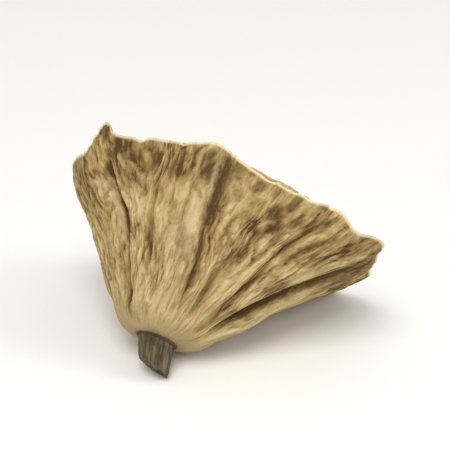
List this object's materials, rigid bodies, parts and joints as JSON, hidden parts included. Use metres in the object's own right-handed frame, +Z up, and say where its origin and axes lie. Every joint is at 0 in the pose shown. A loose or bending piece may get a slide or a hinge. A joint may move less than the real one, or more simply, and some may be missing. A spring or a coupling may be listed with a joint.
{
  "type": "dried lotus pod",
  "caption": "Dried lotus seed pod lying on its side: a wrinkled cone that flares from a cut stub of stem to a wavy rim and a face of deep empty seed sockets.",
  "frame": {"origin": "centre of the pod's bounding box, at the ground it lies on", "axes": "+Z up from the ground, -Y towards the side the seed face looks to, +Y towards the cut stub of stem, +X across the pod, its longest way"},
  "size_m": [0.0832, 0.0664, 0.0624],
  "materials": {
    "dried_pod": "matte, dry and fibrous, gold-beige with grey-brown mottling, darker in the sockets and on the stub"
  },
  "bodies": {
    "root": {"lotus_pod": "dried_pod"}
  },
  "joints": []
}
